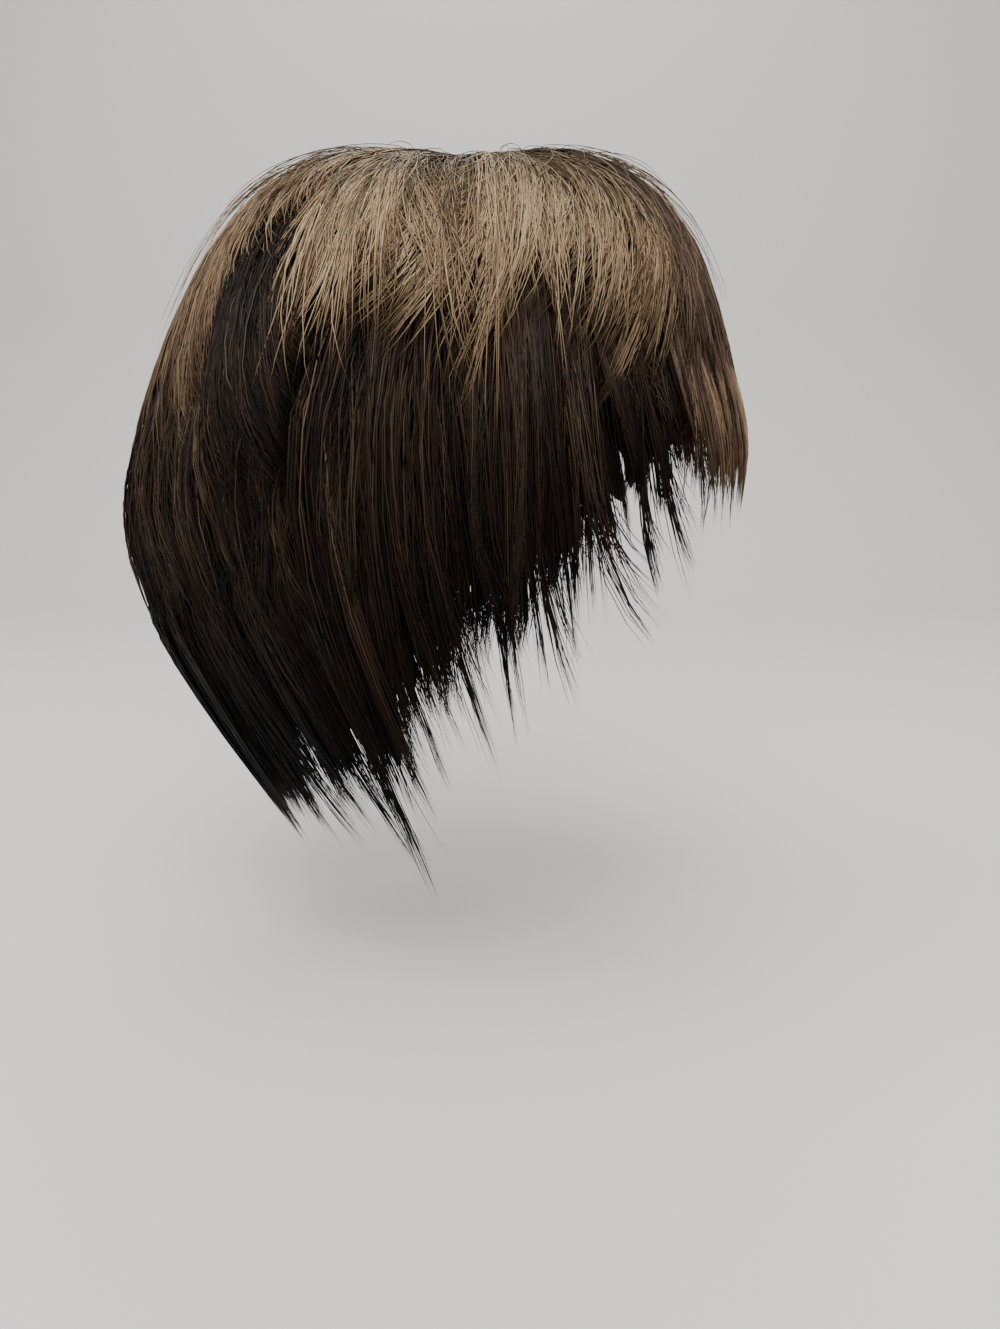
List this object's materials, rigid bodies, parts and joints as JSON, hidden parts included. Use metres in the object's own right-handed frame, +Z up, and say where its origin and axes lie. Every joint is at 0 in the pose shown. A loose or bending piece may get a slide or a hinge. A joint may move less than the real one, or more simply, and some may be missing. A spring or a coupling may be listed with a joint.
{
  "type": "synthetic wig",
  "caption": "Short layered synthetic wig: a thin head cap covered by lapped layers of hair, with a frosted crown, ragged fringe and sides, and a long tapered nape.",
  "frame": {"origin": "inside of the cap's top, where the crown of the head bears", "axes": "+X towards the face, +Y towards the wearer's left side, +Z up"},
  "size_m": [0.2193, 0.1904, 0.2525],
  "materials": {
    "cap_net": "knitted stretch net, matt",
    "hair_light": "frosted golden brown synthetic fibre with darker roots, satin",
    "hair_mixed": "dark brown synthetic fibre with light brown streaks, satin",
    "hair_dark": "dark brown synthetic fibre, satin"
  },
  "bodies": {
    "root": {"cap": "cap_net", "crown_layer": "hair_light", "fringe": "hair_mixed", "side_layer_right": "hair_dark", "side_layer_left": "hair_dark", "back_layer": "hair_mixed", "nape_layer": "hair_dark"}
  },
  "joints": []
}
